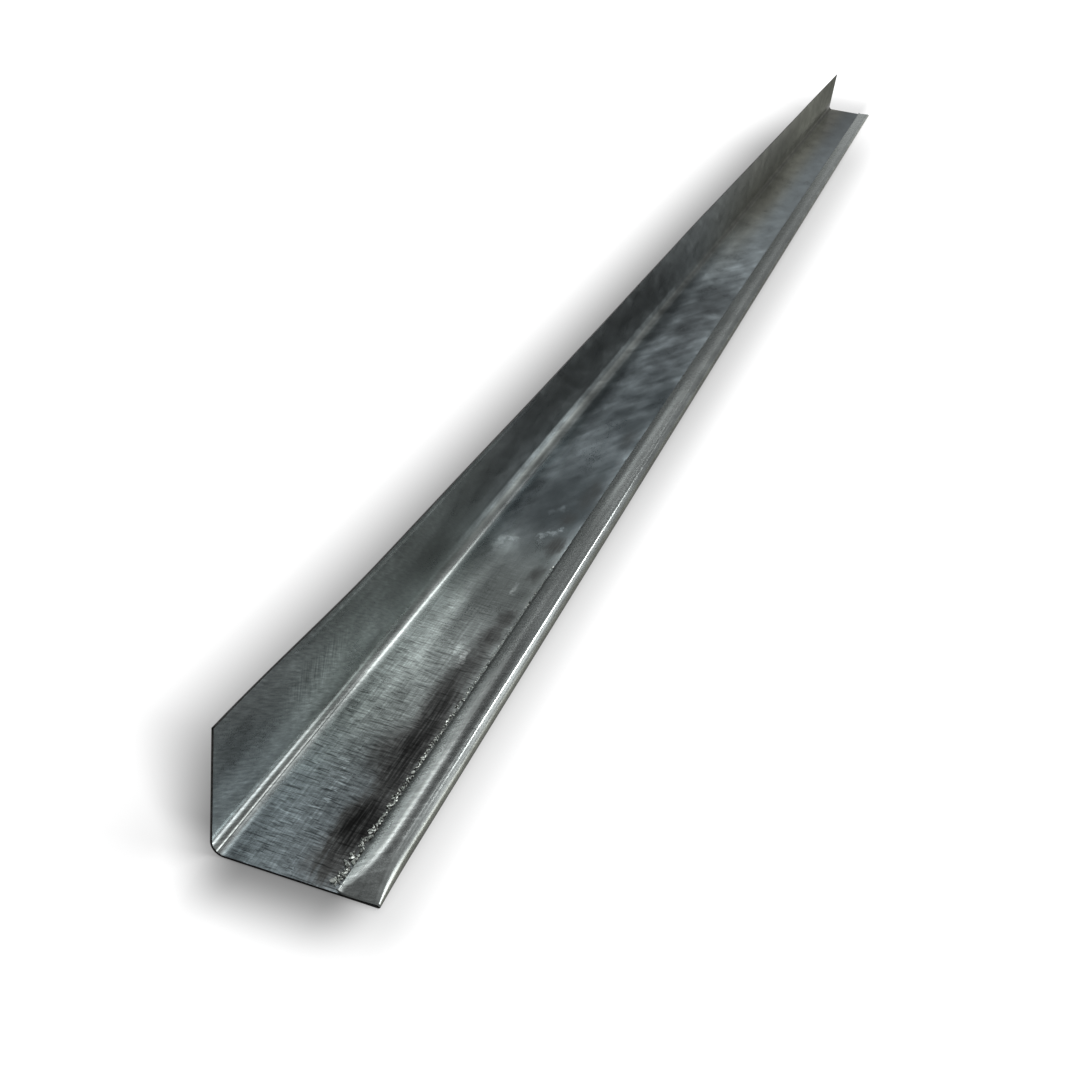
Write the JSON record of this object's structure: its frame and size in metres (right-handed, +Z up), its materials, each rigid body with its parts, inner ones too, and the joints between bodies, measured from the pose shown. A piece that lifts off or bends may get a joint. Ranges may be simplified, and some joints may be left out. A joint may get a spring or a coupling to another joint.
{
  "type": "metal angle section",
  "caption": "Thin galvanised steel angle section folded from sheet, with a plain upright leg and a wider lying leg whose free edge is turned back in a hem.",
  "frame": {"origin": "mid-length, halfway across the lying leg, on its underside", "axes": "+Z up along the plain leg, +Y along the length, +X across the lying leg from the bend to the hem"},
  "size_m": [0.03, 0.9, 0.025],
  "materials": {
    "galvanised_sheet": "hot-dip galvanised sheet, dulled and smudged, with rolling marks"
  },
  "bodies": {
    "root": {"angle_section": "galvanised_sheet"}
  },
  "joints": []
}
